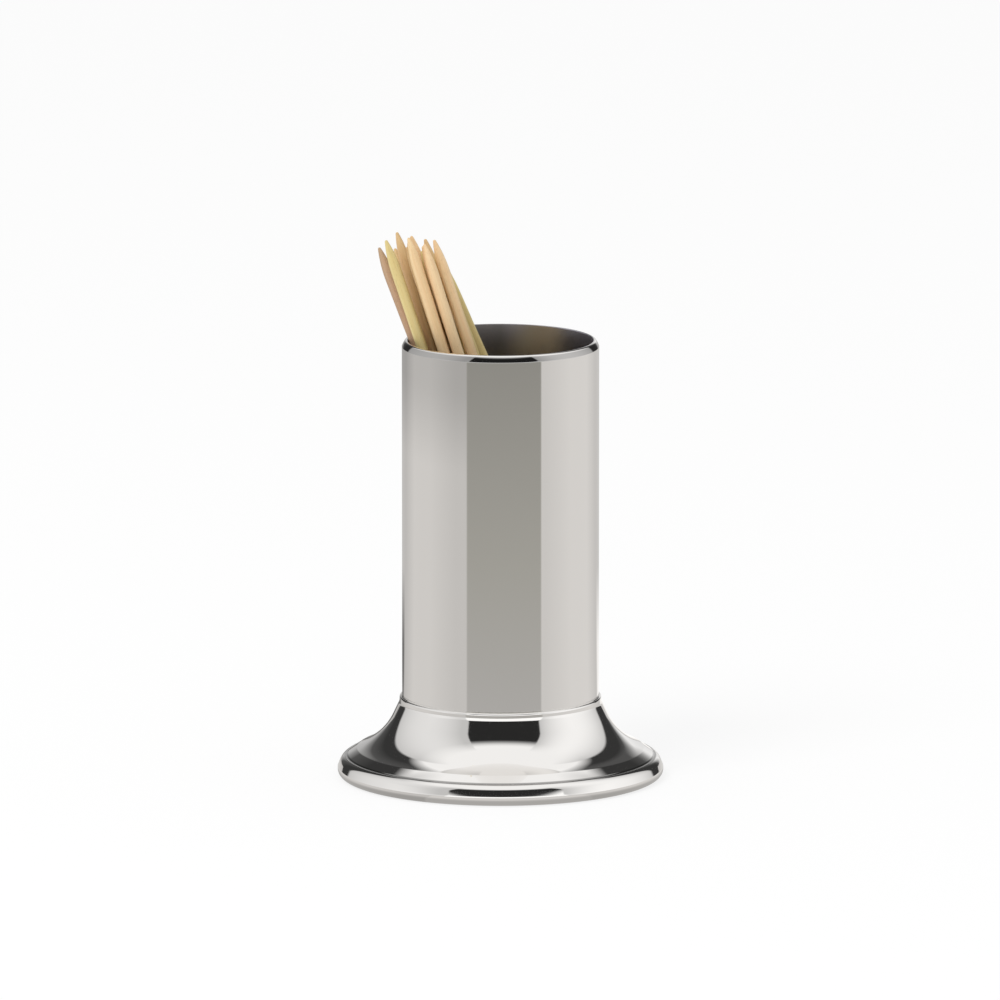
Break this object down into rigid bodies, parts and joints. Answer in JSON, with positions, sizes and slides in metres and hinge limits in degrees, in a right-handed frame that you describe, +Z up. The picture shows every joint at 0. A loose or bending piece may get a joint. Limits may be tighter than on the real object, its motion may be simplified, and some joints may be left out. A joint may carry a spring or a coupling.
{
  "type": "toothpick holder",
  "caption": "Polished steel toothpick holder: an upright open tube on a flared trumpet foot, holding a loose bundle of wooden toothpicks that lean against its rim.",
  "frame": {"origin": "on the table, under the middle of the foot", "axes": "+Z up along the tube; +Y away from the camera; the toothpicks lean towards -X"},
  "size_m": [0.059, 0.059, 0.0997],
  "materials": {
    "polished_steel": "mirror-polished stainless steel",
    "satin_steel": "satin, as pressed",
    "birch_wood": "bare, smooth turned birch"
  },
  "bodies": {
    "holder": {"tube_body": "polished_steel", "trumpet_foot": "polished_steel", "raised_floor": "satin_steel"},
    "toothpick_01_body": {"toothpick_01": "birch_wood"},
    "toothpick_02_body": {"toothpick_02": "birch_wood"},
    "toothpick_03_body": {"toothpick_03": "birch_wood"},
    "toothpick_04_body": {"toothpick_04": "birch_wood"},
    "toothpick_05_body": {"toothpick_05": "birch_wood"},
    "toothpick_06_body": {"toothpick_06": "birch_wood"},
    "toothpick_07_body": {"toothpick_07": "birch_wood"},
    "toothpick_08_body": {"toothpick_08": "birch_wood"},
    "toothpick_09_body": {"toothpick_09": "birch_wood"},
    "toothpick_10_body": {"toothpick_10": "birch_wood"},
    "toothpick_11_body": {"toothpick_11": "birch_wood"},
    "toothpick_12_body": {"toothpick_12": "birch_wood"},
    "toothpick_13_body": {"toothpick_13": "birch_wood"},
    "toothpick_14_body": {"toothpick_14": "birch_wood"},
    "toothpick_15_body": {"toothpick_15": "birch_wood"},
    "toothpick_16_body": {"toothpick_16": "birch_wood"},
    "toothpick_17_body": {"toothpick_17": "birch_wood"},
    "toothpick_18_body": {"toothpick_18": "birch_wood"},
    "toothpick_19_body": {"toothpick_19": "birch_wood"},
    "toothpick_20_body": {"toothpick_20": "birch_wood"}
  },
  "joints": [
    {"name": "toothpick_01_lift", "type": "slide", "parent": "holder", "child": "toothpick_01_body", "axis": [-0.2924, -0.0229, 0.956], "range_m": [0, 0.052]},
    {"name": "toothpick_02_lift", "type": "slide", "parent": "holder", "child": "toothpick_02_body", "axis": [-0.2924, -0.0229, 0.956], "range_m": [0, 0.052]},
    {"name": "toothpick_03_lift", "type": "slide", "parent": "holder", "child": "toothpick_03_body", "axis": [-0.3089, -0.0114, 0.951], "range_m": [0, 0.052]},
    {"name": "toothpick_04_lift", "type": "slide", "parent": "holder", "child": "toothpick_04_body", "axis": [-0.3089, -0.0114, 0.951], "range_m": [0, 0.052]},
    {"name": "toothpick_05_lift", "type": "slide", "parent": "holder", "child": "toothpick_05_body", "axis": [-0.3089, -0.0114, 0.951], "range_m": [0, 0.052]},
    {"name": "toothpick_06_lift", "type": "slide", "parent": "holder", "child": "toothpick_06_body", "axis": [-0.3089, -0.0114, 0.951], "range_m": [0, 0.052]},
    {"name": "toothpick_07_lift", "type": "slide", "parent": "holder", "child": "toothpick_07_body", "axis": [-0.3519, 0, 0.9361], "range_m": [0, 0.052]},
    {"name": "toothpick_08_lift", "type": "slide", "parent": "holder", "child": "toothpick_08_body", "axis": [-0.3519, 0, 0.9361], "range_m": [0, 0.052]},
    {"name": "toothpick_09_lift", "type": "slide", "parent": "holder", "child": "toothpick_09_body", "axis": [-0.3519, 0, 0.9361], "range_m": [0, 0.052]},
    {"name": "toothpick_10_lift", "type": "slide", "parent": "holder", "child": "toothpick_10_body", "axis": [-0.3519, 0, 0.9361], "range_m": [0, 0.052]},
    {"name": "toothpick_11_lift", "type": "slide", "parent": "holder", "child": "toothpick_11_body", "axis": [-0.2959, 0.0115, 0.9551], "range_m": [0, 0.052]},
    {"name": "toothpick_12_lift", "type": "slide", "parent": "holder", "child": "toothpick_12_body", "axis": [-0.2959, 0.0115, 0.9551], "range_m": [0, 0.052]},
    {"name": "toothpick_13_lift", "type": "slide", "parent": "holder", "child": "toothpick_13_body", "axis": [-0.2959, 0.0115, 0.9551], "range_m": [0, 0.052]},
    {"name": "toothpick_14_lift", "type": "slide", "parent": "holder", "child": "toothpick_14_body", "axis": [-0.3987, 0.022, 0.9168], "range_m": [0, 0.052]},
    {"name": "toothpick_15_lift", "type": "slide", "parent": "holder", "child": "toothpick_15_body", "axis": [-0.3987, 0.022, 0.9168], "range_m": [0, 0.052]},
    {"name": "toothpick_16_lift", "type": "slide", "parent": "holder", "child": "toothpick_16_body", "axis": [-0.3987, 0.022, 0.9168], "range_m": [0, 0.052]},
    {"name": "toothpick_17_lift", "type": "slide", "parent": "holder", "child": "toothpick_17_body", "axis": [-0.3987, 0.022, 0.9168], "range_m": [0, 0.052]},
    {"name": "toothpick_18_lift", "type": "slide", "parent": "holder", "child": "toothpick_18_body", "axis": [-0.3581, 0.0336, 0.9331], "range_m": [0, 0.052]},
    {"name": "toothpick_19_lift", "type": "slide", "parent": "holder", "child": "toothpick_19_body", "axis": [-0.3581, 0.0336, 0.9331], "range_m": [0, 0.052]},
    {"name": "toothpick_20_lift", "type": "slide", "parent": "holder", "child": "toothpick_20_body", "axis": [-0.3581, 0.0336, 0.9331], "range_m": [0, 0.052]}
  ]
}
